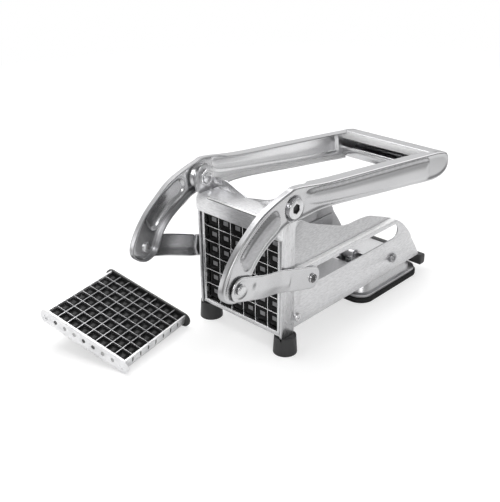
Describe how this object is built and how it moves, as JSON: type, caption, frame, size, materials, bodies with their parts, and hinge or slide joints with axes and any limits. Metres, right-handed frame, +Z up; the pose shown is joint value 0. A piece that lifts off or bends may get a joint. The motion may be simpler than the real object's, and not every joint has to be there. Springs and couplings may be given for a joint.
{
  "type": "french fry cutter",
  "caption": "Lever-driven stainless steel french fry cutter with a suction base, a linked pusher, a blade grid and a spare grid on its block.",
  "frame": {"origin": "middle of the suction pad's underside, on the table", "axes": "+Y from the blades to the grip, +Z up, +X to the right seen from the blades' front towards the grip"},
  "size_m": [0.1546, 0.2917, 0.1221],
  "materials": {
    "steel": "brushed stainless sheet, softly polished",
    "bright_steel": "bright plated fasteners",
    "blade_steel": "bright ground steel",
    "dark_screws": "dull steel",
    "black_plastic": "black moulded plastic",
    "rubber": "black rubber"
  },
  "bodies": {
    "base": {"side_plates": "steel", "frame_liners": "steel", "deck_cap": "steel", "frame_sill": "steel", "pivot_web": "steel", "body_trough": "steel", "trough_rivets": "steel", "rear_plates": "steel", "star_screws": "dark_screws", "foot_left": "rubber", "foot_right": "rubber", "foot_screws": "dark_screws", "cassette_frame": "blade_steel", "blades_upright": "blade_steel", "blades_level": "blade_steel", "suction_cover": "steel", "suction_pad": "rubber", "lever_bracket": "steel", "lever_pin": "dark_screws", "pivot_bolts": "bright_steel", "pivot_spacers": "steel", "pivot_nuts": "bright_steel"},
    "stem": {"suction_stem": "steel"},
    "lever": {"lever_plate": "steel", "lever_bar": "rubber"},
    "handle": {"arm_right": "steel", "arm_left": "steel", "grip_bar": "steel", "crank_rivets": "bright_steel"},
    "link_r": {"link_right": "steel", "link_rivet_right": "bright_steel"},
    "link_l": {"link_left": "steel", "link_rivet_left": "bright_steel"},
    "pusher": {"pusher_block": "black_plastic", "pusher_carriage": "steel", "pusher_pins": "steel", "pusher_screws": "dark_screws"},
    "spare_block": {"spare_block": "black_plastic", "spare_hub": "black_plastic"},
    "spare_grid": {"spare_cheeks": "blade_steel", "spare_strips": "blade_steel", "spare_blades_u": "blade_steel", "spare_blades_v": "blade_steel"}
  },
  "joints": [
    {"name": "handle_pivot", "type": "hinge", "parent": "base", "child": "handle", "pos_m": [0, -0.125, 0.1086], "axis": [1, 0, 0], "range_deg": [0, 95]},
    {"name": "link_right_pin", "type": "hinge", "parent": "handle", "child": "link_r", "pos_m": [0.0442, -0.17552, 0.0718], "axis": [1, 0, 0], "range_deg": [-88, 0]},
    {"name": "link_left_pin", "type": "hinge", "parent": "handle", "child": "link_l", "pos_m": [-0.0442, -0.17552, 0.0718], "axis": [1, 0, 0], "range_deg": [-88, 0]},
    {"name": "pusher_slide", "type": "slide", "parent": "base", "child": "pusher", "axis": [0, 1, 0], "range_m": [0, 0.094]},
    {"name": "lever_hinge", "type": "hinge", "parent": "base", "child": "lever", "pos_m": [0, -0.005, 0.02], "axis": [1, 0, 0], "range_deg": [0, 35]},
    {"name": "stem_slide", "type": "slide", "parent": "base", "child": "stem", "axis": [0, 0, -1], "range_m": [0, 0.0013]},
    {"name": "spare_lift", "type": "slide", "parent": "base", "child": "spare_block", "axis": [-0.8, 0, 0.6], "range_m": [0, 0.1]},
    {"name": "spare_grid_lift", "type": "slide", "parent": "spare_block", "child": "spare_grid", "axis": [0.2649, 0.0571, 0.9626], "range_m": [0, 0.04]}
  ],
  "couplings": [
    {"joint": "link_right_pin", "follows": "handle_pivot", "ratio": -0.9166},
    {"joint": "link_left_pin", "follows": "handle_pivot", "ratio": -0.9166},
    {"joint": "pusher_slide", "follows": "handle_pivot", "m_per_rad": 0.05665},
    {"joint": "stem_slide", "follows": "lever_hinge", "m_per_rad": 0.001964}
  ]
}
